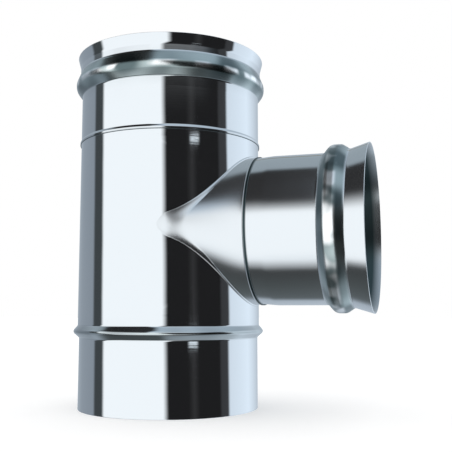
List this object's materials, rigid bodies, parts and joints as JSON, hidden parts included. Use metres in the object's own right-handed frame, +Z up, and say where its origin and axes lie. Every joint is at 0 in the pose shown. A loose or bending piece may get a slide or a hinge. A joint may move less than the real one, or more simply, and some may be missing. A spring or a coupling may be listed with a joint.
{
  "type": "stove pipe tee",
  "caption": "Stainless stove pipe tee: straight main pipe with a socket on top and a spigot below, and a smaller side branch that ends in a socket.",
  "frame": {"origin": "centre of the spigot's lower edge, on the main pipe's axis", "axes": "+Z up along the main pipe towards its socket, +X along the branch"},
  "size_m": [0.2547, 0.163, 0.2962],
  "materials": {
    "polished_body": "bright rolled stainless steel",
    "polished_socket": "bright rolled stainless steel",
    "polished_collar": "bright pressed stainless steel",
    "polished_branch": "bright rolled stainless steel"
  },
  "bodies": {
    "root": {"tee_body": "polished_body", "top_socket": "polished_socket", "branch_collar": "polished_collar", "branch_socket": "polished_branch"}
  },
  "joints": []
}
